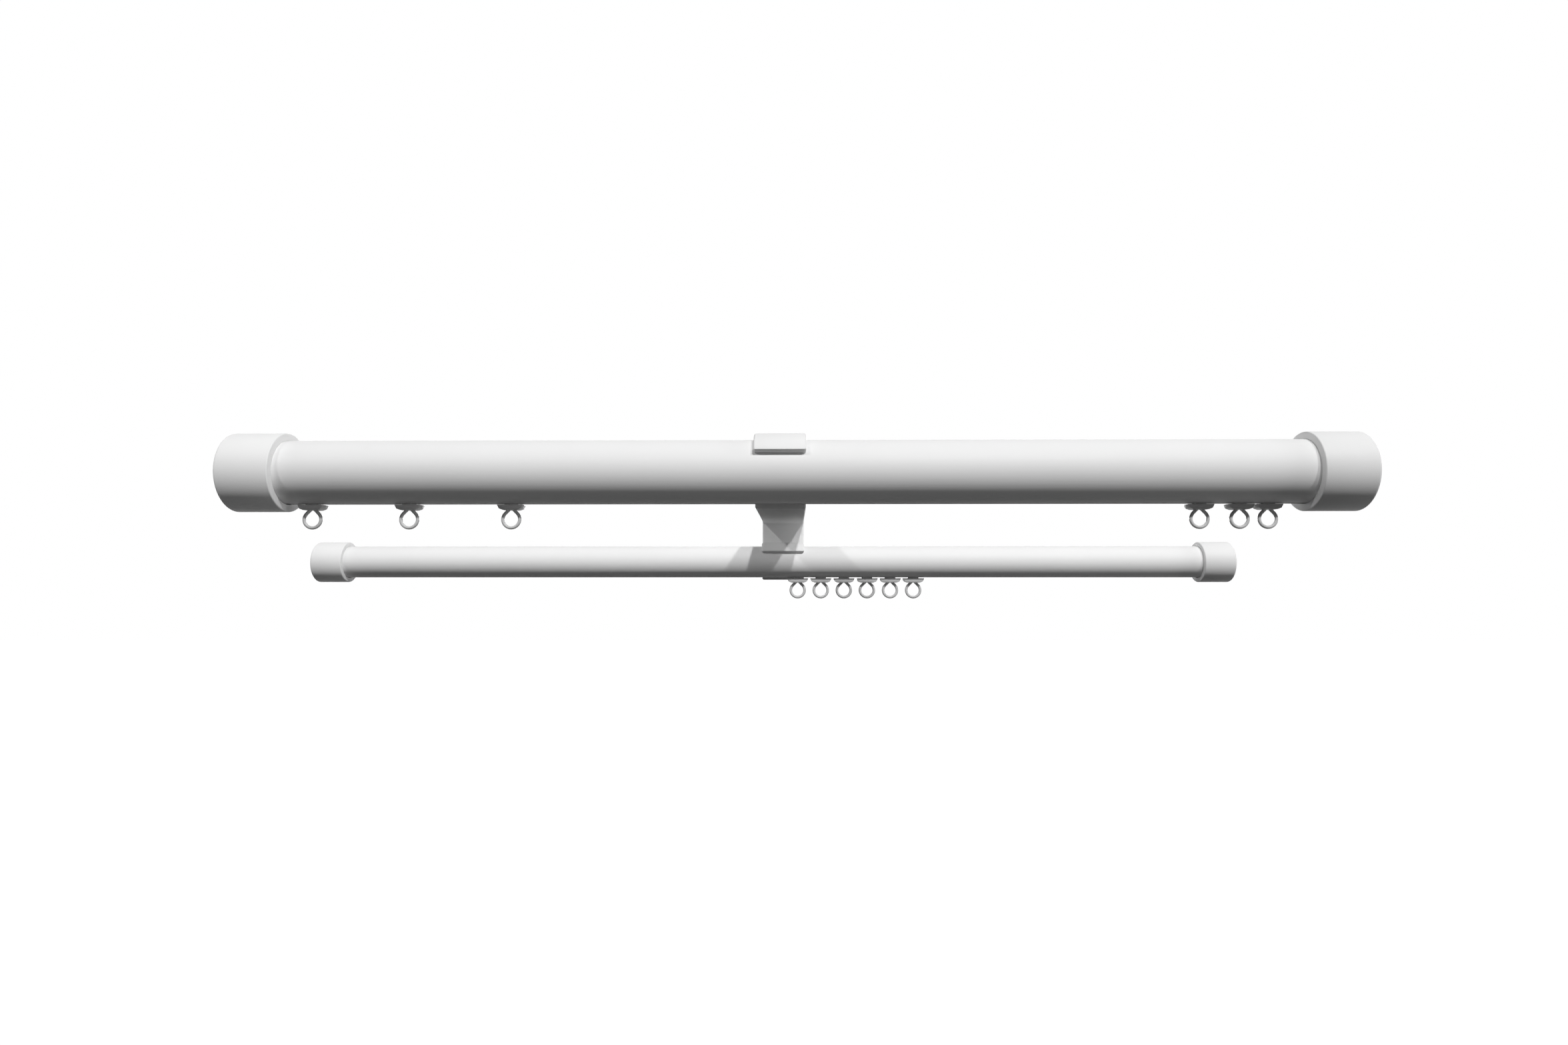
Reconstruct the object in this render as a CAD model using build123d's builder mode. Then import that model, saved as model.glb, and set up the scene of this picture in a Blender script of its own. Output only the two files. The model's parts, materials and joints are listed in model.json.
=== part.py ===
"""Double curtain rod: two round slotted rails on one wall bracket, with end caps and ring runners.

Frame: X runs along the rails, +Z is up, and +Y points into the wall. The wall is the plane Y = 0, and the
origin is the middle of the two wall screw holes. Millimetres.
"""

import os
from math import cos, radians, sin, sqrt

from build123d import *

os.makedirs("parts", exist_ok=True)

# Driving dimensions: rails
rail_length = 603.5  # of the tubes, the same in both rows
front_shift = 6.9  # how far each rail's middle stands to the right of the bracket
rear_shift = -8.0
front_rail_d = 35.0
rear_rail_d = 21.0
front_tube_wall = 1.6
rear_tube_wall = 1.4

# Driving dimensions: the track along the underside of each rail
slot_w = 5.0
channel_w = 10.0
channel_h = 5.6
ledge_h = 2.9  # from the rail's lowest line up to the ledge that the runners ride on
track_wall = 1.4

# Driving dimensions: end caps
front_cap_l = 29.0
rear_cap_l = 20.5
front_cap_wall = 3.9
rear_cap_wall = 2.7
front_cap_end = 3.5
rear_cap_end = 2.25
cap_break = 1.6  # bevel round the outer end
rim_break = 0.6
spigot_l = 12.0
spigot_wall = 1.6

# Driving dimensions: bracket
bracket_w = 28.0
wall_to_rear = 37.0  # from the wall to the rear rail's axis
rail_spacing = 115.0  # from the rear rail's axis out to the front rail's
rail_drop = 46.5  # from the front rail's axis down to the rear rail's
front_strap = 3.5
rear_strap = 2.5
front_lip_angle = 28.5  # how far above the rail's foremost line each lip ends
rear_lip_angle = 33.0
front_tail_angle = 65.0  # how far below the rail's hindmost line each cradle ends
rear_tail_angle = 64.0
arm_h = 7.0
web_t = 4.0
plate_t = 4.0
plate_foot = 14.0  # below the arm
plate_head = 9.0  # above the upper screw hole
screw_spacing = 26.0
screw_rise = 12.0  # from the arm's top to the lower screw hole
screw_hole_d = 4.5
screw_head_d = 9.0
corner_round = 6.0
web_round = 2.0
edge_break = 0.7

# Driving dimensions: lock screws
front_screw_d = 4.0
rear_screw_d = 3.0
front_socket_w = 2.0  # across the flats
rear_socket_w = 1.5
screw_sunk = 0.3  # how far each screw lies below the outside of its strap
screw_break = 0.3
socket_depth = 1.6

# Driving dimensions: runners
glide_l = 11.0
glide_h = 3.2
neck_l = 7.0
wing_l = 14.2
wing_w = 7.0
wing_h = 2.9
wing_foot_l = 7.6
wing_tip_h = 2.1
wing_slant = 1.1  # how far each end of the wing leans in
glide_corner = 2.6
neck_corner = 1.0
glide_break = 0.8
ring_r = 4.6  # to the middle of the wire
ring_wire_r = 0.9  # half the ring's section, which is square with broken corners
ring_break = 0.5
ring_drop = 8.2  # from the rail's lowest line to the ring's centre
leg_angle = 45.0  # where the ring's round turns into its two straight legs
leg_seat = 0.8  # how far the legs reach up into the wing

# Where the runners stand: clear gaps between their wings
left_cap_gap = 6.65
left_gaps = (38.9, 41.7)
right_cap_gap = 12.95
right_gaps = (1.0, 7.3)
rear_first = 9.8  # from the bracket's middle to the first rear runner's
rear_gap = 1.2
rear_count = 6

# Clearances
rail_fit = 0.1  # round each rail, in its cradle and caps
spigot_fit = 0.2
thread_fit = 0.05
glide_fit = 0.3
neck_fit = 0.4
wing_fit = 0.35  # between a wing and the rail above it

# Derived places
front_r = front_rail_d / 2
rear_r = rear_rail_d / 2
front_half = rail_length / 2 + front_cap_end  # from a rail's middle to the outer end of its cap
rear_half = rail_length / 2 + rear_cap_end
front_y = -(wall_to_rear + rail_spacing)
rear_y = -wall_to_rear
front_bore_r = front_r + rail_fit
rear_bore_r = rear_r + rail_fit
front_strap_r = front_bore_r + front_strap
rear_strap_r = rear_bore_r + rear_strap
arm_top = -screw_spacing / 2 - screw_rise
arm_under = arm_top - arm_h
front_z = arm_under + front_strap_r * sin(radians(front_tail_angle))
rear_z = front_z - rail_drop
track_h = ledge_h + channel_h + track_wall  # from a rail's lowest line to the roof of its track


def rail(name, axis_y, axis_z, shift, radius, wall):
    """A round tube with a box-shaped track inside it, open along the rail's underside."""
    ledge = ledge_h - radius
    end = Plane(origin=(shift - rail_length / 2, axis_y, axis_z), x_dir=(0, 1, 0), z_dir=(1, 0, 0))
    with BuildPart() as tube:
        with BuildSketch(end):
            Circle(radius)
            with BuildSketch(mode=Mode.SUBTRACT):
                Circle(radius - wall)
                with Locations((0, track_h - radius)):
                    Rectangle(
                        channel_w + 2 * track_wall,
                        2 * radius,
                        align=(Align.CENTER, Align.MAX),
                        mode=Mode.SUBTRACT,
                    )
            with Locations((0, ledge)):
                Rectangle(channel_w, channel_h, align=(Align.CENTER, Align.MIN), mode=Mode.SUBTRACT)
                Rectangle(slot_w, radius, align=(Align.CENTER, Align.MAX), mode=Mode.SUBTRACT)
        extrude(amount=rail_length)
    tube.part.label = name
    export_step(tube.part, f"parts/{name}.step")


def end_cap(name, axis_y, axis_z, shift, outward, radius, tube_wall, cap_l, cap_wall, cap_end):
    """A moulded cup over a rail's end, with a hollow spigot that plugs the tube above its track."""
    rim_x = shift + outward * (rail_length / 2 + cap_end - cap_l)
    rim = Plane(origin=(rim_x, axis_y, axis_z), x_dir=(0, outward, 0), z_dir=(outward, 0, 0))
    floor = rim.offset(cap_l - cap_end)
    with BuildPart() as cap:
        with BuildSketch(rim):
            Circle(radius + rail_fit + cap_wall)
        extrude(amount=cap_l)
        rounds = cap.edges().filter_by(GeomType.CIRCLE).sort_by(rim.location.z_axis)
        chamfer(rounds[0], rim_break)
        chamfer(rounds[-1], cap_break)
        with BuildSketch(rim):
            Circle(radius + rail_fit)
        extrude(amount=cap_l - cap_end, mode=Mode.SUBTRACT)
        with BuildSketch(floor):
            with BuildSketch() as plug:
                Circle(radius - tube_wall - spigot_fit)
                with Locations((0, track_h - radius + spigot_fit)):
                    Rectangle(2 * radius, 2 * radius, align=(Align.CENTER, Align.MAX), mode=Mode.SUBTRACT)
            offset(plug.sketch, amount=-spigot_wall, mode=Mode.SUBTRACT)
        extrude(amount=-spigot_l)
    cap.part.label = name
    export_step(cap.part, f"parts/{name}.step")


def lock_screw(name, axis_y, axis_z, seat_r, strap, screw_d, socket_w):
    """A headless screw with a hexagon socket, from the strap's top down to the rail."""
    length = strap + rail_fit - screw_sunk - thread_fit
    foot = Plane(origin=(0, axis_y, axis_z + seat_r - rail_fit + thread_fit))
    with BuildPart() as screw:
        with BuildSketch(foot):
            Circle(screw_d / 2 - thread_fit)
        extrude(amount=length)
        chamfer(screw.edges().filter_by(GeomType.CIRCLE), screw_break)
        with BuildSketch(foot.offset(length)):
            RegularPolygon(socket_w / 2, 6, major_radius=False)
        extrude(amount=-socket_depth, mode=Mode.SUBTRACT)
    screw.part.label = name
    export_step(screw.part, f"parts/{name}.step")


def runner(name, x, axis_y, low_z):
    """One moulding: a glide in the track, a neck through the slot, a wing under the rail and a ring."""
    wing_top = low_z - wing_fit
    glide_low = low_z + ledge_h + glide_fit
    ring_z = low_z - ring_drop
    middle = Plane(origin=(x, axis_y, ring_z), x_dir=(1, 0, 0), z_dir=(0, -1, 0))
    with BuildPart() as piece:
        with BuildSketch(Plane(origin=(x, axis_y, glide_low))) as plan:
            Rectangle(glide_l, channel_w - 2 * glide_fit)
            chamfer(plan.vertices(), glide_corner)
        extrude(amount=glide_h)
        chamfer(piece.faces().sort_by(Axis.Z)[-1].edges(), glide_break)
        with BuildSketch(Plane(origin=(x, axis_y, wing_top))) as stem:
            Rectangle(neck_l, slot_w - 2 * neck_fit)
            chamfer(stem.vertices(), neck_corner)
        extrude(amount=glide_low - wing_top)
        with BuildSketch(middle.offset(-wing_w / 2)):
            top = wing_top - ring_z
            with BuildLine():
                Polyline(
                    (-wing_l / 2, top),
                    (wing_l / 2, top),
                    (wing_l / 2 - wing_slant, top - wing_tip_h),
                    (wing_foot_l / 2, top - wing_h),
                    (-wing_foot_l / 2, top - wing_h),
                    (wing_slant - wing_l / 2, top - wing_tip_h),
                    close=True,
                )
            make_face()
        extrude(amount=wing_w)
        with BuildLine(middle) as loop:
            bow = CenterArc((0, 0), ring_r, 180 - leg_angle, 180 + 2 * leg_angle)
            rise = (top - wing_h + leg_seat - ring_r * sin(radians(leg_angle))) / cos(radians(leg_angle))
            PolarLine(bow @ 0, rise, 90 - leg_angle)
            PolarLine(bow @ 1, rise, 90 + leg_angle)
        with BuildSketch(Plane(origin=loop.wire() @ 0, x_dir=(0, 1, 0), z_dir=loop.wire() % 0)) as wire:
            Rectangle(2 * ring_wire_r, 2 * ring_wire_r)
            chamfer(wire.vertices(), ring_break)
        sweep(path=loop.wire())
    piece.part.label = name
    export_step(piece.part, f"parts/{name}.step")


# Bracket: one aluminium section cut to width
web_front = rear_y + rear_bore_r
web_foot = rear_z - rear_strap_r * sin(radians(rear_tail_angle))
heel_l = rear_bore_r + web_t - rear_strap_r * cos(radians(rear_tail_angle))
strap_meets_web = rear_z + sqrt(rear_strap_r**2 - rear_bore_r**2)
plate_top = screw_spacing / 2 + plate_head
cradles = (
    ((front_y, front_z), front_strap_r, front_bore_r, front_lip_angle, front_tail_angle),
    ((rear_y, rear_z), rear_strap_r, rear_bore_r, rear_lip_angle, rear_tail_angle),
)
with BuildPart() as bracket:
    with BuildSketch(Plane.YZ) as section:
        with Locations((0, arm_under - plate_foot)):
            Rectangle(plate_t, plate_top - arm_under + plate_foot, align=(Align.MAX, Align.MIN))
        with Locations((0, arm_under)):
            Rectangle(
                -front_y - front_strap_r * cos(radians(front_tail_angle)),
                arm_h,
                align=(Align.MAX, Align.MIN),
            )
        with Locations((web_front + web_t, web_foot)):
            Rectangle(web_t, arm_under - web_foot, align=(Align.MAX, Align.MIN))
            Rectangle(heel_l, rear_z - web_foot, align=(Align.MAX, Align.MIN))
        for axis, strap_r, bore_r, lip_angle, tail_angle in cradles:
            with BuildLine():
                arc = CenterArc(axis, strap_r, -tail_angle, 180 - lip_angle + tail_angle)
                Line(arc @ 1, axis)
                Line(axis, arc @ 0)
            make_face()
            with Locations(axis):
                Circle(bore_r, mode=Mode.SUBTRACT)
    extrude(amount=bracket_w / 2, both=True)

    def line_at(y, z):
        """The straight edge across the bracket that lies nearest to a point of its section."""
        return bracket.edges().filter_by(Axis.X).sort_by_distance((0, y, z))[0]

    fillet(line_at(-plate_t, arm_top), corner_round)
    fillet(line_at(front_y + front_strap_r, arm_top), corner_round)
    fillet([line_at(-plate_t, arm_under), line_at(web_front + web_t, arm_under)], web_round)
    fillet(line_at(web_front, arm_under), web_round)
    fillet(line_at(web_front, strap_meets_web), web_round)
    sides = bracket.faces().filter_by(Axis.X).sort_by(Axis.X)
    chamfer(sides[0].edges() + sides[-1].edges(), edge_break)
    with Locations(Plane(origin=(0, -plate_t, 0), x_dir=(1, 0, 0), z_dir=(0, -1, 0))):
        with GridLocations(0, screw_spacing, 1, 2):
            CounterSinkHole(screw_hole_d / 2, screw_head_d / 2, depth=plate_t)
    with Locations((0, front_y, front_z + front_strap_r)):
        Hole(front_screw_d / 2, depth=front_strap_r)
    with Locations((0, rear_y, rear_z + rear_strap_r)):
        Hole(rear_screw_d / 2, depth=rear_strap_r)
bracket.part.label = "bracket"
export_step(bracket.part, "parts/bracket.step")

rail("front_rail", front_y, front_z, front_shift, front_r, front_tube_wall)
rail("rear_rail", rear_y, rear_z, rear_shift, rear_r, rear_tube_wall)
for side, outward in (("left", -1), ("right", 1)):
    end_cap(
        f"front_{side}_cap", front_y, front_z, front_shift, outward,
        front_r, front_tube_wall, front_cap_l, front_cap_wall, front_cap_end,
    )
    end_cap(
        f"rear_{side}_cap", rear_y, rear_z, rear_shift, outward,
        rear_r, rear_tube_wall, rear_cap_l, rear_cap_wall, rear_cap_end,
    )
lock_screw("front_lock_screw", front_y, front_z, front_bore_r, front_strap, front_screw_d, front_socket_w)
lock_screw("rear_lock_screw", rear_y, rear_z, rear_bore_r, rear_strap, rear_screw_d, rear_socket_w)

# Runners: three at each end of the front rail, and a close row on the rear rail
front_low = front_z - front_r
rear_low = rear_z - rear_r
left_rim = front_shift - front_half + front_cap_l
right_rim = front_shift + front_half - front_cap_l
left_places = [left_rim + left_cap_gap + wing_l / 2]
for gap in left_gaps:
    left_places.append(left_places[-1] + wing_l + gap)
right_places = [right_rim - right_cap_gap - wing_l / 2]
for gap in right_gaps:
    right_places.insert(0, right_places[0] - wing_l - gap)
for i, x in enumerate(left_places + right_places):
    runner(f"front_runner_{i + 1}", x, front_y, front_low)
for i in range(rear_count):
    runner(f"rear_runner_{i + 1}", rear_first + i * (wing_l + rear_gap), rear_y, rear_low)
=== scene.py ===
# %% [markdown]
# # A double curtain rod
#
# Two round rails lie in the cradles of one wall bracket: a thick one in front and a thinner one behind
# and below it. Each rail has a slot along its underside. Ring runners ride in that slot, and a moulded
# cap closes each end. The frame gives every piece its place and size, in metres. This lesson gives the
# pieces their finished forms and surfaces, then lights them.

# %% Load the frame
import json
from math import atan2, cos, pi, radians, sin

import bpy
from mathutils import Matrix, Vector

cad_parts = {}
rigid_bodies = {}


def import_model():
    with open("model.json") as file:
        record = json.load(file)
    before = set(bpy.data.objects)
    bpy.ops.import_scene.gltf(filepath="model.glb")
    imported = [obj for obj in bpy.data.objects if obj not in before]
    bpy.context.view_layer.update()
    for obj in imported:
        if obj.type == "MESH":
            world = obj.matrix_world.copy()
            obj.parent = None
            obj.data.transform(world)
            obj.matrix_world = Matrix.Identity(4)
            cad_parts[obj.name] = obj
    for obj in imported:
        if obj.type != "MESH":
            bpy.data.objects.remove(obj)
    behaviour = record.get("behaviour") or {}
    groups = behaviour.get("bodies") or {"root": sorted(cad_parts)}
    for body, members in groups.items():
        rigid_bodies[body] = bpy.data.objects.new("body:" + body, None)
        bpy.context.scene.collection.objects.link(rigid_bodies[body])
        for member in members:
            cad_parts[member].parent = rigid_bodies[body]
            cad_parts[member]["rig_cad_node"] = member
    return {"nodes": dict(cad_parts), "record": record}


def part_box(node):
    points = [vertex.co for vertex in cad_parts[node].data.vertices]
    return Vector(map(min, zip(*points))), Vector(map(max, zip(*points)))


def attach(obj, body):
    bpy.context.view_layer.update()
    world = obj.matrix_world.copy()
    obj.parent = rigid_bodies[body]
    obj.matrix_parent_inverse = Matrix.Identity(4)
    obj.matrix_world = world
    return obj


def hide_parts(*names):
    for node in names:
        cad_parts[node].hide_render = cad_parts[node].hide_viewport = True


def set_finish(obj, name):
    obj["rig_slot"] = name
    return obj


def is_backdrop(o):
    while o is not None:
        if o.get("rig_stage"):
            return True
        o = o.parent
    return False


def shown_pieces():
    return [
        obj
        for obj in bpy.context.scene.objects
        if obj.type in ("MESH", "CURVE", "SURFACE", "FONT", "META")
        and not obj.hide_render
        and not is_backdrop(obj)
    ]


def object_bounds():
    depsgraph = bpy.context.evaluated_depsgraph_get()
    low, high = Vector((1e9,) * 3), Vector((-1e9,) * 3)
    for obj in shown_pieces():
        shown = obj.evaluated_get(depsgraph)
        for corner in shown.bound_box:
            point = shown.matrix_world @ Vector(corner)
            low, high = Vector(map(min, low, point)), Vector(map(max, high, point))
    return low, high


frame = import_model()
cad_low, cad_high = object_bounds()
MM = 0.001

# %% [markdown]
# ## Working habits
#
# An operator works on whatever is selected, and the loaded nodes start out selected. So each step first
# selects exactly one piece. The helpers below keep that habit in one place. They also keep every
# finished piece's object at the origin, with its place in its mesh, because the frame's own nodes are
# kept that way.

# %% Helpers: one piece at a time


def pick(piece):
    """Leaves edit mode and makes one piece the only one selected."""
    if bpy.context.object and bpy.context.object.mode != "OBJECT":
        bpy.ops.object.mode_set(mode="OBJECT")
    bpy.ops.object.select_all(action="DESELECT")
    if piece:
        piece.select_set(True)
        bpy.context.view_layer.objects.active = piece


def settle(piece, name):
    """Names a new piece and moves its place, turn and size into its mesh."""
    piece.name = name
    pick(piece)
    bpy.ops.object.transform_apply(location=True, rotation=True, scale=True)
    return piece


def apply_modifiers(piece):
    """Applies every modifier of a piece, from the top of its stack down."""
    pick(piece)
    for name in [modifier.name for modifier in piece.modifiers]:
        bpy.ops.object.modifier_apply(modifier=name)


# %% Helper: a finished piece
SMOOTH_ANGLE = radians(32)


def finish_piece(piece, body, slot, node):
    """Smooth shading with crisp corners. The piece then rides on its body and stands for a node."""
    pick(piece)
    bpy.ops.object.shade_smooth_by_angle(angle=SMOOTH_ANGLE)
    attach(piece, body)
    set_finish(piece, slot)
    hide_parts(node)
    print(f"{piece.name}: {len(piece.data.polygons)} faces, stands for {node}")


# %% [markdown]
# ## The rails
#
# Each rail is an aluminium extrusion: one section, drawn out to length. The section is a thin round tube
# with a box inside it at the bottom, and the box opens downwards through a slot. It could be drawn as an
# outline and pulled out. Cutting is easier to follow: start from a solid round bar, hollow it out around
# the box, then mill the track and its slot. Every cut runs the whole length, so the faces stay long and
# clean. The bar has many sides, because a long round highlight shows every flat. Rounding the lips can
# leave points on top of each other, so these are welded, and the rail is one closed skin.

# %% Helpers: solids to start from


def add_rod(name, sides, radius, x_from, x_to, y, z):
    """A solid cylinder that lies along X."""
    pick(None)
    bpy.ops.mesh.primitive_cylinder_add(
        vertices=sides,
        radius=radius,
        depth=x_to - x_from,
        location=((x_from + x_to) / 2, y, z),
        rotation=(0, pi / 2, 0),
    )
    return settle(bpy.context.object, name)


def add_block(name, low, high):
    """A solid block between two corners."""
    pick(None)
    bpy.ops.mesh.primitive_cube_add(size=1, location=(Vector(low) + Vector(high)) / 2)
    block = bpy.context.object
    block.scale = Vector(high) - Vector(low)
    return settle(block, name)


# %% Helpers: combining and rounding


def combine(piece, tool, operation):
    """Cuts a tool out of a piece, or melts it in, and throws the tool away."""
    boolean = piece.modifiers.new("combine", "BOOLEAN")
    boolean.object = tool
    boolean.operation = operation
    boolean.solver = "EXACT"
    apply_modifiers(piece)
    bpy.data.objects.remove(tool)


def round_edges(piece, width, segments, sharper_than):
    """Rounds every edge that turns by more than an angle."""
    bevel = piece.modifiers.new("round", "BEVEL")
    bevel.width = width
    bevel.segments = segments
    bevel.limit_method = "ANGLE"
    bevel.angle_limit = sharper_than
    apply_modifiers(piece)


# %% Helper: choosing faces, edges or vertices


def edit(piece, kind, test):
    """Opens a piece in edit mode, with only those faces, edges or vertices selected that pass a test."""
    pick(piece)
    bpy.ops.object.mode_set(mode="EDIT")
    bpy.ops.mesh.select_mode(type=kind)
    bpy.ops.mesh.select_all(action="DESELECT")
    bpy.ops.object.mode_set(mode="OBJECT")
    mesh = piece.data
    for part in {"FACE": mesh.polygons, "EDGE": mesh.edges, "VERT": mesh.vertices}[kind]:
        part.select = test(part)
    bpy.ops.object.mode_set(mode="EDIT")


# %% Sizes of the rails
RAIL_SIDES = 160
TUBE_WALL = {"front_rail": 1.6 * MM, "rear_rail": 1.4 * MM}
SLOT_W = 5 * MM
CHANNEL_W = 10 * MM
CHANNEL_H = 5.6 * MM
LEDGE_H = 2.9 * MM
TRACK_WALL = 1.4 * MM
LIP_ROUND = 0.35 * MM
OVERRUN = 1 * MM
WELD = 0.001 * MM


def rail_axis(node):
    """A rail's radius, and the depth and height of its axis, read from the frame."""
    low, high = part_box(node)
    radius = (high.y - low.y) / 2
    return radius, (high.y + low.y) / 2, high.z - radius


for node in TUBE_WALL:
    print(node, "is", round(2 * rail_axis(node)[0] / MM, 1), "mm thick")

# %% Rails


def make_rail(node):
    """One rail, cut from a solid bar of its node's size."""
    low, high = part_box(node)
    radius, y, z = rail_axis(node)
    cut_from, cut_to = low.x - OVERRUN, high.x + OVERRUN
    well_below = z - 2 * radius
    ledge = z - radius + LEDGE_H
    ceiling = ledge + CHANNEL_H
    half_box = CHANNEL_W / 2 + TRACK_WALL
    rail = add_rod(f"{node}_tube", RAIL_SIDES, radius, low.x, high.x, y, z)

    hollow = add_rod("hollow", RAIL_SIDES, radius - TUBE_WALL[node], cut_from, cut_to, y, z)
    box_low = (cut_from - OVERRUN, y - half_box, well_below)
    box_high = (cut_to + OVERRUN, y + half_box, ceiling + TRACK_WALL)
    combine(hollow, add_block("box", box_low, box_high), "DIFFERENCE")
    combine(rail, hollow, "DIFFERENCE")

    track_low = (cut_from, y - CHANNEL_W / 2, ledge)
    track_high = (cut_to, y + CHANNEL_W / 2, ceiling)
    combine(rail, add_block("track", track_low, track_high), "DIFFERENCE")
    slot_low = (cut_from, y - SLOT_W / 2, well_below)
    slot_high = (cut_to, y + SLOT_W / 2, ledge + CHANNEL_H / 2)
    combine(rail, add_block("slot", slot_low, slot_high), "DIFFERENCE")
    round_edges(rail, LIP_ROUND, segments=3, sharper_than=radians(40))
    edit(rail, "VERT", lambda vertex: True)
    bpy.ops.mesh.remove_doubles(threshold=WELD)
    pick(rail)
    return rail


for node in ("front_rail", "rear_rail"):
    finish_piece(make_rail(node), "rod", "rail_paint", node)

# %% [markdown]
# ## The end caps
#
# A cap is a moulded cup that slips over a rail's end. It could be spun from a profile, but a cup is
# quicker from a cylinder: inset the face that looks along the rail, push it in to make the hollow, then
# round the two outer circles. A moulding has no sharp edge, so both get a round, and the closed end gets
# the larger one.

# %% Helper: rounding one circle
SAME_PLACE = 0.01 * MM


def round_circle(cap, x, radius, y, z, width, segments):
    """Rounds the one circle of a cap that stands at x and has that radius about the axis at y and z."""
    points = cap.data.vertices

    def on_circle(vertex):
        from_axis = Vector((vertex.co.y - y, vertex.co.z - z)).length
        return abs(vertex.co.x - x) < SAME_PLACE and abs(from_axis - radius) < SAME_PLACE

    edit(cap, "EDGE", lambda edge: all(on_circle(points[i]) for i in edge.vertices))
    bpy.ops.mesh.bevel(offset=width, segments=segments, affect="EDGES")


# %% End caps
CAP_SIDES = 160
RAIL_FIT = 0.1 * MM
CAP_END = {"front": 3.5 * MM, "rear": 2.25 * MM}
CAP_ROUND = {"front": 1.6 * MM, "rear": 1.3 * MM}
RIM_ROUND = 0.6 * MM
# A face looks along an axis when its normal reaches further than this along it.
FACING = 0.9


def make_cap(row, side):
    """One cup, hollowed from the side that the rail comes in."""
    node = f"{row}_{side}_cap"
    low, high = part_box(node)
    outward = -1 if side == "left" else 1
    rim_x, end_x = (high.x, low.x) if outward < 0 else (low.x, high.x)
    rail_radius, y, z = rail_axis(f"{row}_rail")
    radius = (high.z - low.z) / 2
    cap = add_rod(f"{node}_cup", CAP_SIDES, radius, low.x, high.x, y, z)

    edit(cap, "FACE", lambda face: face.normal.x * outward < -FACING)
    bpy.ops.mesh.inset(thickness=radius - rail_radius - RAIL_FIT)
    depth = end_x - outward * CAP_END[row] - rim_x
    bpy.ops.mesh.extrude_region_move(TRANSFORM_OT_translate={"value": (depth, 0, 0)})
    round_circle(cap, end_x, radius, y, z, CAP_ROUND[row], segments=8)
    round_circle(cap, rim_x, radius, y, z, RIM_ROUND, segments=4)
    finish_piece(cap, "rod", "cap_plastic", node)


for row in ("front", "rear"):
    for side in ("left", "right"):
        make_cap(row, side)

# %% [markdown]
# ## The bracket
#
# The bracket is one aluminium section, cut to width: a plate for the wall, an arm, and a cradle for each
# rail. The frame already holds its true shape, so modelling it again would only risk a mistake. Instead
# its mesh is copied, its loose triangles are joined and melted into whole faces, and the edges get the
# small rounds that paint gives.

# %% Bracket
PAINT_ROUND = 0.22 * MM
FLAT = radians(0.5)

pick(frame["nodes"]["bracket"])
bpy.ops.object.duplicate()
bracket = bpy.context.object
bracket.name = "bracket_section"
for key in list(bracket.keys()):
    del bracket[key]
bracket.parent = None
edit(bracket, "VERT", lambda vertex: True)
bpy.ops.mesh.customdata_custom_splitnormals_clear()
bpy.ops.mesh.remove_doubles(threshold=WELD)
bpy.ops.mesh.dissolve_limited(angle_limit=FLAT)
round_edges(bracket, PAINT_ROUND, segments=2, sharper_than=radians(30))
finish_piece(bracket, "rod", "bracket_paint", "bracket")

# %% [markdown]
# ## The runners
#
# A runner is one small moulding. A glide rides in the track, a neck passes through the slot, a wing hangs
# close under the rail, and a ring below takes the hook of a curtain. All twelve are alike, so one pattern
# is modelled about the rail's lowest line and copied to each place, every copy with its own mesh.
#
# The wing starts as a block whose underside is drawn in twice, which gives its two slopes. The ring
# starts as a torus: its top is taken away, and the two open ends are pulled up as straight legs until
# they meet the wing.

# %% Helpers for the pattern


def centred_block(name, length, width, bottom, top):
    """A block about the pattern's middle line."""
    return add_block(name, (-length / 2, -width / 2, bottom), (length / 2, width / 2, top))


def round_uprights(piece, width, segments):
    """Rounds the four upright corners of a block."""
    points = piece.data.vertices

    def upright(edge):
        a, b = (points[i].co for i in edge.vertices)
        return (a.xy - b.xy).length < SAME_PLACE

    edit(piece, "EDGE", upright)
    bpy.ops.mesh.bevel(offset=width, segments=segments, affect="EDGES")
    pick(piece)


# %% Runner pattern: wing
WING_L, WING_W = 14.2 * MM, 7 * MM
WING_FIT = 0.35 * MM
WING_TIP_H, WING_H = 2.1 * MM, 2.9 * MM
WING_TIP_L, WING_FOOT_L = 12 * MM, 7.6 * MM
WING_ROUND = 0.4 * MM

wing_top = -WING_FIT
wing_foot = wing_top - WING_H
wing = centred_block("runner_pattern", WING_L, WING_W, wing_top - WING_TIP_H, wing_top)
edit(wing, "FACE", lambda face: face.normal.z < -FACING)
bpy.ops.transform.resize(value=(WING_TIP_L / WING_L, 1, 1), center_override=(0, 0, 0))
bpy.ops.mesh.extrude_region_move(TRANSFORM_OT_translate={"value": (0, 0, WING_TIP_H - WING_H)})
bpy.ops.transform.resize(value=(WING_FOOT_L / WING_TIP_L, 1, 1), center_override=(0, 0, 0))
round_edges(wing, WING_ROUND, segments=3, sharper_than=radians(15))
print("wing foot at", round(wing_foot / MM, 2), "mm from the rail's lowest line")

# %% Runner pattern: neck and glide
NECK_L, NECK_W = 7 * MM, 4.2 * MM
NECK_CORNER = 1 * MM
GLIDE_L, GLIDE_W, GLIDE_H = 11 * MM, 9.4 * MM, 3.2 * MM
GLIDE_FIT = 0.3 * MM
GLIDE_CORNER = 2.6 * MM
GLIDE_ROUND = 0.8 * MM

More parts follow.
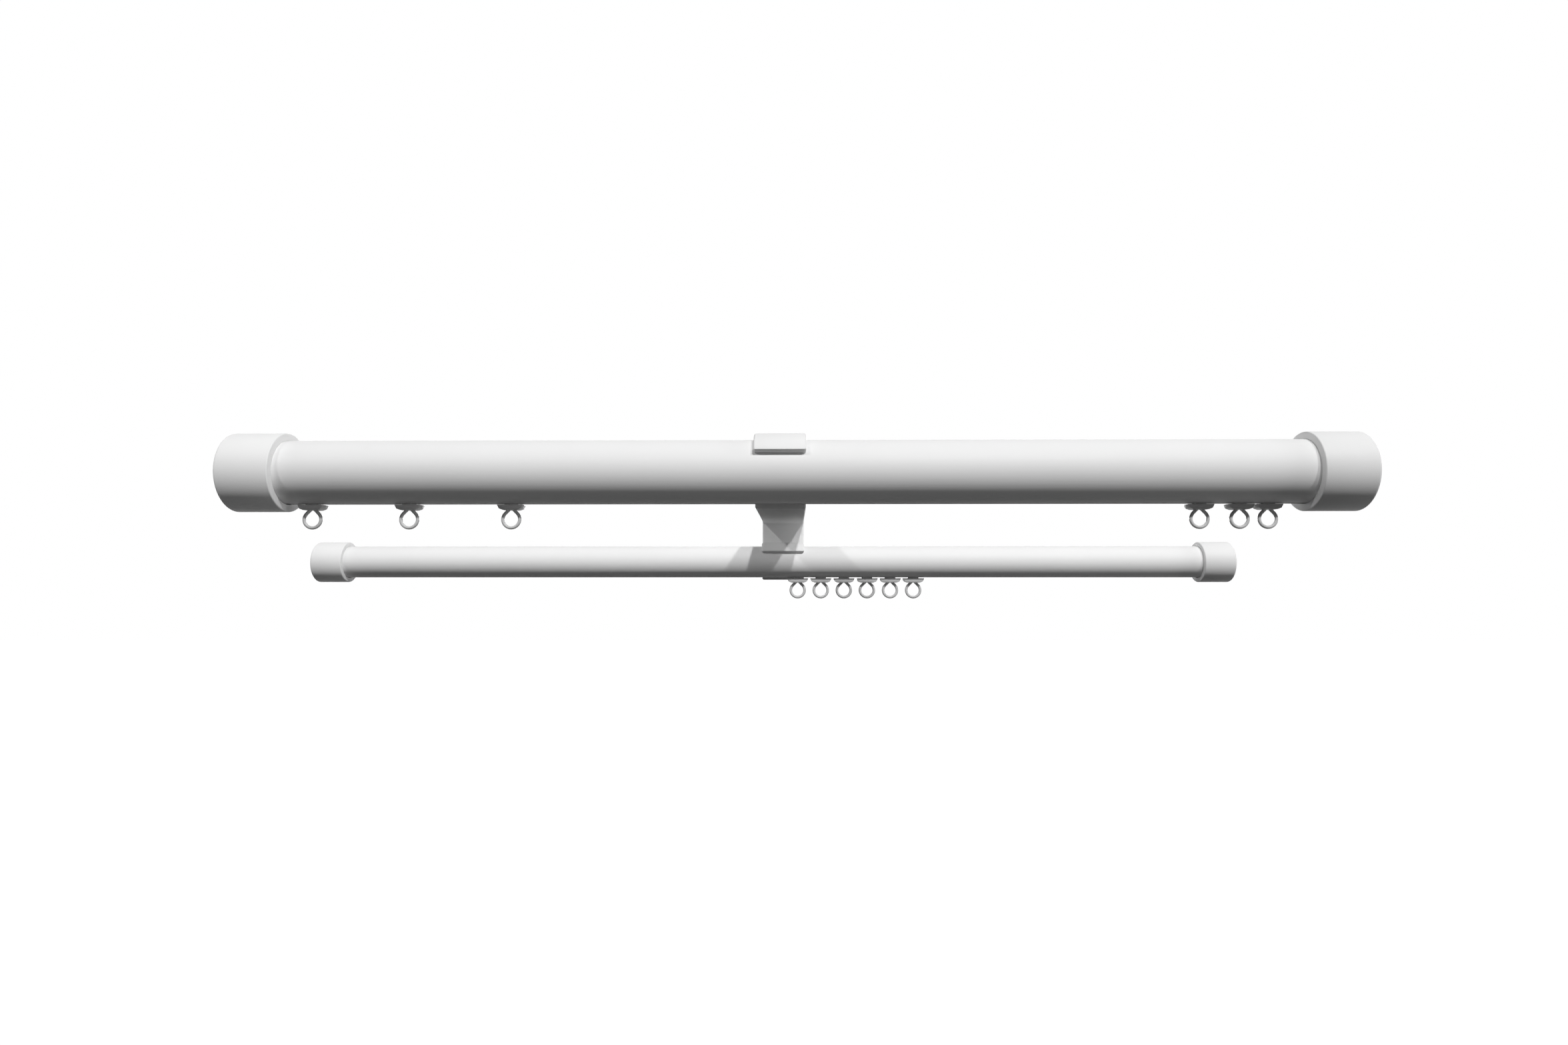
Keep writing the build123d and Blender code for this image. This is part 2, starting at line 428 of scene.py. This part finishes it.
glide_low = LEDGE_H + GLIDE_FIT
neck = centred_block("neck", NECK_L, NECK_W, wing_top - WING_TIP_H / 2, glide_low + GLIDE_H / 2)
round_uprights(neck, NECK_CORNER, segments=4)
glide = centred_block("glide", GLIDE_L, GLIDE_W, glide_low, glide_low + GLIDE_H)
round_uprights(glide, GLIDE_CORNER, segments=6)
round_edges(glide, GLIDE_ROUND, segments=3, sharper_than=radians(50))
print("glide top at", round((glide_low + GLIDE_H) / MM, 2), "mm from the rail's lowest line")

# %% Runner pattern: ring
RING_R, WIRE_R = 4.6 * MM, 0.9 * MM
RING_DROP = 8.2 * MM
RING_STEPS, WIRE_STEPS = 72, 16
LEG_ANGLE = radians(45)

pick(None)
bpy.ops.mesh.primitive_torus_add(
    major_radius=RING_R,
    minor_radius=WIRE_R,
    major_segments=RING_STEPS,
    minor_segments=WIRE_STEPS,
    location=(0, 0, -RING_DROP),
    rotation=(pi / 2, 0, 0),
)
ring = settle(bpy.context.object, "ring")


def ring_turn(vertex):
    """Where a vertex stands round the ring, as an angle from the right-hand side."""
    return atan2(vertex.co.z + RING_DROP, vertex.co.x)


half_step = pi / RING_STEPS
edit(ring, "VERT", lambda v: LEG_ANGLE + half_step < ring_turn(v) < pi - LEG_ANGLE - half_step)
bpy.ops.mesh.delete(type="VERT")
pick(ring)
print("open ring:", len(ring.data.vertices), "vertices")

# %% Runner pattern: legs, and all of it in one
LEG_SEAT = 0.8 * MM

leg_top = wing_foot + LEG_SEAT
leg_l = (leg_top + RING_DROP - RING_R * sin(LEG_ANGLE)) / cos(LEG_ANGLE)
for turn, sideways in ((LEG_ANGLE, -1), (pi - LEG_ANGLE, 1)):
    edit(ring, "VERT", lambda v: abs(ring_turn(v) - turn) < half_step)
    bpy.ops.mesh.select_mode(type="EDGE")
    leg = (sideways * leg_l * sin(LEG_ANGLE), 0, leg_l * cos(LEG_ANGLE))
    bpy.ops.mesh.extrude_region_move(TRANSFORM_OT_translate={"value": leg})
    bpy.ops.mesh.edge_face_add()
edit(ring, "FACE", lambda face: True)
bpy.ops.mesh.normals_make_consistent(inside=False)

for part in (neck, glide, ring):
    combine(wing, part, "UNION")
print("runner pattern:", len(wing.data.polygons), "faces")

# %% Runners in their places
runner_nodes = sorted(node for node in frame["nodes"] if "_runner_" in node)
for node in runner_nodes:
    low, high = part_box(node)
    row = node.split("_")[0]
    radius, y, z = rail_axis(f"{row}_rail")
    pick(wing)
    bpy.ops.object.duplicate()
    runner = bpy.context.object
    runner.location = ((low.x + high.x) / 2, y, z - radius)
    settle(runner, f"{node}_moulding")
    finish_piece(runner, node, "runner_plastic", node)
bpy.data.objects.remove(wing)

# %% [markdown]
# ## The camera
#
# The camera stands where the photograph was taken from: half a metre in front of the front rail, a little
# below it and looking slightly up, with a wide lens. Its numbers come from fitting a camera to the edges
# of the rails, the caps and the rings.

# %% Camera
PICTURE_W = 2352
FOCAL_PIXELS = 1345
SENSOR_W = 36
PITCH = radians(3.735)
YAW = radians(-0.70)
FROM_FRONT_AXIS = Vector((8.0, -485.8, -59.2)) * MM

scene = bpy.context.scene
front_y, front_z = rail_axis("front_rail")[1:]
camera_data = bpy.data.cameras.new("camera")
camera_data.sensor_width = SENSOR_W
camera_data.lens = SENSOR_W * FOCAL_PIXELS / PICTURE_W
camera = bpy.data.objects.new("camera", camera_data)
scene.collection.objects.link(camera)
camera.location = Vector((0, front_y, front_z)) + FROM_FRONT_AXIS
camera.rotation_euler = (pi / 2 + PITCH, 0, -YAW)
scene.camera = camera
print("lens", round(camera_data.lens, 2), "mm")

# %% [markdown]
# ## Light
#
# The shadow that the arm throws on the rear rail is wider than the arm and falls to the left, in steps.
# So the rod is lit by more than one lamp: a row of them, high up in front, with most of the light from
# right of the middle. Lamps far away give parallel light, so every stretch of a rail is lit alike. Large
# soft lamps at the two ends light the caps' rims and end faces, which the row hardly reaches, and one
# behind lights the side that this camera doesn't see. A weak lamp beside the camera lifts the undersides
# a little.

# %% Lamps far away
LAMP_SOFTNESS = radians(2.5)
LARGE_SOFTNESS = radians(20)
ROW_FORWARD = -0.92
ROW_UP = 1.0

scene.view_settings.view_transform = "Standard"


def add_far_lamp(name, towards, strength, softness):
    """A lamp so far away that its light is parallel. Towards is the way from the rod to the lamp."""
    data = bpy.data.lights.new(name, "SUN")
    data.energy = strength
    data.angle = softness
    lamp = bpy.data.objects.new(name, data)
    scene.collection.objects.link(lamp)
    lamp.rotation_euler = Vector(towards).to_track_quat("Z", "Y").to_euler()


lamp_row = (
    ("left_lamp", -0.95, 0.68),
    ("middle_lamp", 0.25, 1.5),
    ("right_lamp", 0.62, 1.15),
)
for name, sideways, strength in lamp_row:
    add_far_lamp(name, (sideways, ROW_FORWARD, ROW_UP), strength, LAMP_SOFTNESS)

large_lamps = (
    ("right_end_lamp", (1.0, -0.15, 0.1), 0.75),
    ("left_end_lamp", (-1.0, 0, 0.3), 0.25),
    ("back_lamp", (0, 1.0, 0.1), 2.0),
)
for name, towards, strength in large_lamps:
    add_far_lamp(name, towards, strength, LARGE_SOFTNESS)
print("far lamps:", len(lamp_row) + len(large_lamps))

# %% Lamp beside the camera
NEAR_SIZE = 0.25
NEAR_POWER = 0.15
BESIDE_CAMERA = Vector((-0.1, 0, 0.05))

near_data = bpy.data.lights.new("near_lamp", "AREA")
near_data.size = NEAR_SIZE
near_data.energy = NEAR_POWER
near_lamp = bpy.data.objects.new("near_lamp", near_data)
scene.collection.objects.link(near_lamp)
near_lamp.location = camera.location + BESIDE_CAMERA
near_lamp.rotation_euler = camera.rotation_euler
print("lamps in all:", len(bpy.data.lights))

# %% [markdown]
# ## The white background
#
# The picture's background is plain white. Lighting a real backdrop that white would flood the rod with
# light, so the world is white only to the eye and to reflections, and dim as a light. The floor lies far
# below, as under a rod on a wall. It glows just enough to look white where the lamps reach it, and still
# shows a shadow. To scattered light it is dim as well, so it doesn't light the undersides of the rails.

# %% Helper: what is seen, and what only lights


def seen_mask(tree):
    """1 where the eye, a reflection or a clear material looks, and 0 for scattered light."""
    path = tree.nodes.new("ShaderNodeLightPath")
    total = path.outputs["Is Camera Ray"]
    for name in ("Is Glossy Ray", "Is Transmission Ray"):
        either = tree.nodes.new("ShaderNodeMath")
        either.operation = "MAXIMUM"
        tree.links.new(total, either.inputs[0])
        tree.links.new(path.outputs[name], either.inputs[1])
        total = either.outputs[0]
    return total


# %% World
DIM_WORLD = 0.02

world = bpy.data.worlds.new("studio")
scene.world = world
world.use_nodes = True
tree = world.node_tree
tree.nodes.clear()
brightness = tree.nodes.new("ShaderNodeMapRange")
brightness.inputs["To Min"].default_value = DIM_WORLD
tree.links.new(seen_mask(tree), brightness.inputs["Value"])
background = tree.nodes.new("ShaderNodeBackground")
background.inputs["Color"].default_value = (1, 1, 1, 1)
tree.links.new(brightness.outputs["Result"], background.inputs["Strength"])
world_out = tree.nodes.new("ShaderNodeOutputWorld")
tree.links.new(background.outputs["Background"], world_out.inputs["Surface"])
print("world: strength 1 where it is seen,", DIM_WORLD, "as a light")

# %% Floor
FLOOR_DROP = 2.0
FLOOR_SIZE = 60

pick(None)
bpy.ops.mesh.primitive_plane_add(size=FLOOR_SIZE, location=(0, 0, cad_low.z - FLOOR_DROP))
floor = bpy.context.object
floor.name = "floor"
floor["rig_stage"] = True
print("floor at", round(floor.location.z, 2), "m")

# %% Floor finish
FLOOR_GLOW = 0.82
FLOOR_SEEN = 0.25
FLOOR_DIM = 0.05

floor_finish = bpy.data.materials.new("floor_finish")
floor_finish.use_nodes = True
tree = floor_finish.node_tree
tree.nodes.clear()
seen = seen_mask(tree)
glow = tree.nodes.new("ShaderNodeEmission")
glow.inputs["Color"].default_value = (FLOOR_GLOW, FLOOR_GLOW, FLOOR_GLOW, 1)
tree.links.new(seen, glow.inputs["Strength"])
paleness = tree.nodes.new("ShaderNodeMapRange")
paleness.inputs["To Min"].default_value = FLOOR_DIM
paleness.inputs["To Max"].default_value = FLOOR_SEEN
tree.links.new(seen, paleness.inputs["Value"])
matt = tree.nodes.new("ShaderNodeBsdfDiffuse")
tree.links.new(paleness.outputs["Result"], matt.inputs["Color"])
both = tree.nodes.new("ShaderNodeAddShader")
tree.links.new(glow.outputs["Emission"], both.inputs[0])
tree.links.new(matt.outputs["BSDF"], both.inputs[1])
floor_out = tree.nodes.new("ShaderNodeOutputMaterial")
tree.links.new(both.outputs["Shader"], floor_out.inputs["Surface"])
floor.data.materials.append(floor_finish)
print("floor finish:", len(tree.nodes), "nodes")

# %% [markdown]
# ## A skin for every finish
#
# Every surface here is pale and new, so the finish lies in small things: how the paint or the mould's
# skin breaks up the light. Each material could have its own nodes for that, but the effect is the same
# everywhere. So one node group makes the skin. It puts out a slightly uneven colour, an uneven roughness
# and a relief, from noise on the object's own coordinates, and each finish uses it at its own grain and
# stretch.

# %% The skin's sockets
skin_group = bpy.data.node_groups.new("pale_skin", "ShaderNodeTree")
skin_sockets = (
    ("Tone", "INPUT", "NodeSocketColor"),
    ("Shade", "INPUT", "NodeSocketColor"),
    ("Grain", "INPUT", "NodeSocketVector"),
    ("Clouds", "INPUT", "NodeSocketFloat"),
    ("Rough Low", "INPUT", "NodeSocketFloat"),
    ("Rough High", "INPUT", "NodeSocketFloat"),
    ("Colour", "OUTPUT", "NodeSocketColor"),
    ("Roughness", "OUTPUT", "NodeSocketFloat"),
    ("Relief", "OUTPUT", "NodeSocketFloat"),
)
for name, way, kind in skin_sockets:
    skin_group.interface.new_socket(name, in_out=way, socket_type=kind)
skin_nodes, skin_links = skin_group.nodes, skin_group.links
given = skin_nodes.new("NodeGroupInput")
result = skin_nodes.new("NodeGroupOutput")
place = skin_nodes.new("ShaderNodeTexCoord")
print("skin:", len(skin_sockets), "sockets")

# %% The skin's grain: relief and roughness
GRAIN_DETAIL = 3

grain_place = skin_nodes.new("ShaderNodeMapping")
skin_links.new(place.outputs["Object"], grain_place.inputs["Vector"])
skin_links.new(given.outputs["Grain"], grain_place.inputs["Scale"])
grain_noise = skin_nodes.new("ShaderNodeTexNoise")
grain_noise.inputs["Scale"].default_value = 1
grain_noise.inputs["Detail"].default_value = GRAIN_DETAIL
skin_links.new(grain_place.outputs["Vector"], grain_noise.inputs["Vector"])
skin_links.new(grain_noise.outputs["Fac"], result.inputs["Relief"])
rough_span = skin_nodes.new("ShaderNodeMapRange")
skin_links.new(grain_noise.outputs["Fac"], rough_span.inputs["Value"])
skin_links.new(given.outputs["Rough Low"], rough_span.inputs["To Min"])
skin_links.new(given.outputs["Rough High"], rough_span.inputs["To Max"])
skin_links.new(rough_span.outputs["Result"], result.inputs["Roughness"])
print("skin with its grain:", len(skin_nodes), "nodes")

# %% The skin's clouds: colour
CLOUD_DETAIL = 4

cloud_noise = skin_nodes.new("ShaderNodeTexNoise")
cloud_noise.inputs["Detail"].default_value = CLOUD_DETAIL
skin_links.new(place.outputs["Object"], cloud_noise.inputs["Vector"])
skin_links.new(given.outputs["Clouds"], cloud_noise.inputs["Scale"])
tint = skin_nodes.new("ShaderNodeMix")
tint.data_type = "RGBA"
skin_links.new(cloud_noise.outputs["Fac"], tint.inputs["Factor"])
skin_links.new(given.outputs["Tone"], tint.inputs["A"])
skin_links.new(given.outputs["Shade"], tint.inputs["B"])
skin_links.new(tint.outputs["Result"], result.inputs["Colour"])
print("skin with its clouds:", len(skin_nodes), "nodes")

# %% [markdown]
# ## The finishes
#
# The rails are painted aluminium, and the drawing of the metal leaves faint lines along their length, so
# their grain is stretched along X. The bracket has the even grain of a sprayed coat. The caps have the
# fine, dull skin of an etched mould. The runners are smoother and of a slightly greyer plastic, and their
# tone is darker still: that part is painted shade, for the shadow that the rail above throws on them.
# The lock screws are plain zinc plate. All of these could be painted on a picture, but a grain made by
# nodes stays sharp at any distance and needs no unwrapping.

# %% Helpers: a finish that uses the skin


def grey(value):
    """A neutral colour."""
    return (value, value, value)


def make_finish(name, tone, shade, grain, clouds, rough, relief, specular, metallic=0):
    """A finish with the shared skin. Grain is how many grains a metre holds along X, Y and Z."""
    finish = bpy.data.materials.new(name)
    finish.use_nodes = True
    nodes, links = finish.node_tree.nodes, finish.node_tree.links
    shader = nodes["Principled BSDF"]
    shader.inputs["Metallic"].default_value = metallic
    shader.inputs["Specular IOR Level"].default_value = specular
    skin = nodes.new("ShaderNodeGroup")
    skin.node_tree = skin_group
    skin.inputs["Tone"].default_value = (*tone, 1)
    skin.inputs["Shade"].default_value = (*shade, 1)
    skin.inputs["Grain"].default_value = grain
    skin.inputs["Clouds"].default_value = clouds
    skin.inputs["Rough Low"].default_value, skin.inputs["Rough High"].default_value = rough
    bump = nodes.new("ShaderNodeBump")
    bump.inputs["Strength"].default_value = 1
    bump.inputs["Distance"].default_value = relief
    links.new(skin.outputs["Relief"], bump.inputs["Height"])
    links.new(skin.outputs["Colour"], shader.inputs["Base Color"])
    links.new(skin.outputs["Roughness"], shader.inputs["Roughness"])
    links.new(bump.outputs["Normal"], shader.inputs["Normal"])
    return finish


# %% Paints
finishes = {}
finishes["rail_paint"] = make_finish(
    "rail_paint",
    tone=grey(0.82),
    shade=grey(0.79),
    grain=(25, 900, 900),
    clouds=30,
    rough=(0.45, 0.6),
    relief=0.015 * MM,
    specular=0.15,
)
finishes["bracket_paint"] = make_finish(
    "bracket_paint",
    tone=grey(0.82),
    shade=grey(0.78),
    grain=(900, 900, 900),
    clouds=60,
    rough=(0.52, 0.66),
    relief=0.025 * MM,
    specular=0.1,
)
print("paints:", list(finishes))

# %% Mouldings and screws
finishes["cap_plastic"] = make_finish(
    "cap_plastic",
    tone=grey(0.81),
    shade=grey(0.78),
    grain=(2000, 2000, 2000),
    clouds=50,
    rough=(0.45, 0.6),
    relief=0.025 * MM,
    specular=0.2,
)
# Both runner greys are darker than the plastic itself: part of that grey is painted shade, for the rail's
# shadow on them.
finishes["runner_plastic"] = make_finish(
    "runner_plastic",
    tone=grey(0.57),
    shade=grey(0.53),
    grain=(1500, 1500, 1500),
    clouds=120,
    rough=(0.34, 0.46),
    relief=0.015 * MM,
    specular=0.25,
)
finishes["screw_steel"] = make_finish(
    "screw_steel",
    tone=(0.62, 0.62, 0.63),
    shade=(0.52, 0.52, 0.54),
    grain=(4000, 4000, 600),
    clouds=300,
    rough=(0.28, 0.45),
    relief=0.01 * MM,
    specular=0.5,
    metallic=1,
)
print("finishes:", list(finishes))

# %% Every piece gets its finish
slot_of_node = {part["node"]: part["material_slot"] for part in frame["record"]["subparts"]}
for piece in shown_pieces():
    slot = piece.get("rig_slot") or slot_of_node[piece["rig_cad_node"]]
    piece.data.materials.clear()
    piece.data.materials.append(finishes[slot])

# %% [markdown]
# ## The finished size
#
# The finished pieces should fill the same box as the frame's own nodes, so their size is printed.

# %% Sizes
low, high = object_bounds()
print("visual size in mm:", [round((b - a) / MM, 1) for a, b in zip(low, high)])
